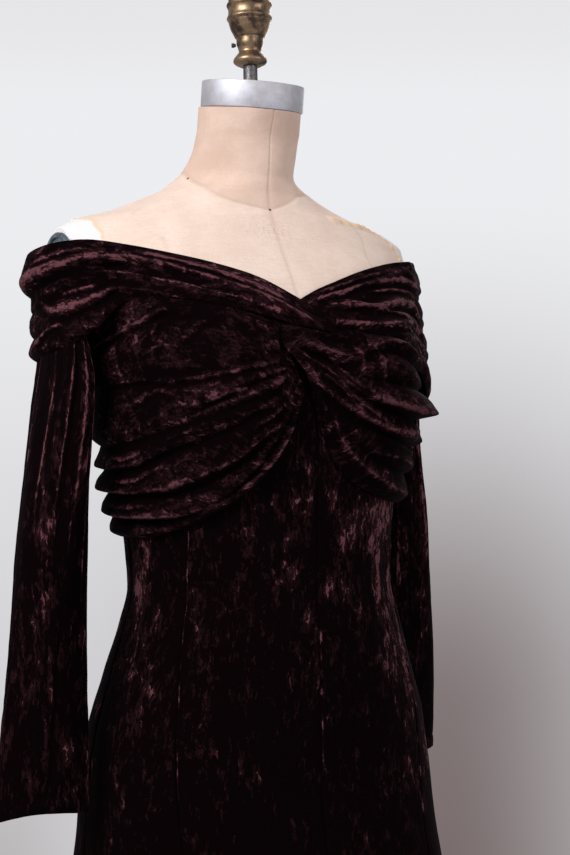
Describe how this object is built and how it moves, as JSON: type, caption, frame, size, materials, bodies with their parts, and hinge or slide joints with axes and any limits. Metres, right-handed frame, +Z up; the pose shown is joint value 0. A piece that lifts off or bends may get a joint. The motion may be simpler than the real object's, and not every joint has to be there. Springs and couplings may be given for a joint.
{
  "type": "velvet dress on a dress form",
  "caption": "Long off-the-shoulder crushed velvet dress with a twisted, draped bust, straight long sleeves and a gored skirt, worn by a limbless dress form on a round stand.",
  "frame": {"origin": "on the floor under the middle of the stand's round base", "axes": "+Z up; the dress faces -Y; the wearer's right side is at -X"},
  "size_m": [0.6081, 0.538, 1.6288],
  "materials": {
    "crushed_velvet": "crushed pile, dull with mauve sheen",
    "form_canvas": "smooth linen, matt",
    "brushed_metal": "brushed",
    "old_brass": "aged",
    "black_iron": "satin black",
    "slate_paint": "satin",
    "plywood": "bare"
  },
  "bodies": {
    "root": {"arm_plate_left": "slate_paint", "arm_plate_right": "slate_paint", "back_left": "crushed_velvet", "back_right": "crushed_velvet", "band_left": "crushed_velvet", "band_right": "crushed_velvet", "bottom_board": "plywood", "drape_left": "crushed_velvet", "drape_right": "crushed_velvet", "finial": "old_brass", "finial_screw": "black_iron", "form_torso": "form_canvas", "front_left": "crushed_velvet", "front_right": "crushed_velvet", "neck_cap": "brushed_metal", "pole": "black_iron", "pole_collar": "black_iron", "rod": "brushed_metal", "side_back_left": "crushed_velvet", "side_back_right": "crushed_velvet", "side_front_left": "crushed_velvet", "side_front_right": "crushed_velvet", "sleeve_left": "crushed_velvet", "sleeve_right": "crushed_velvet", "stand_base": "black_iron"}
  },
  "joints": []
}
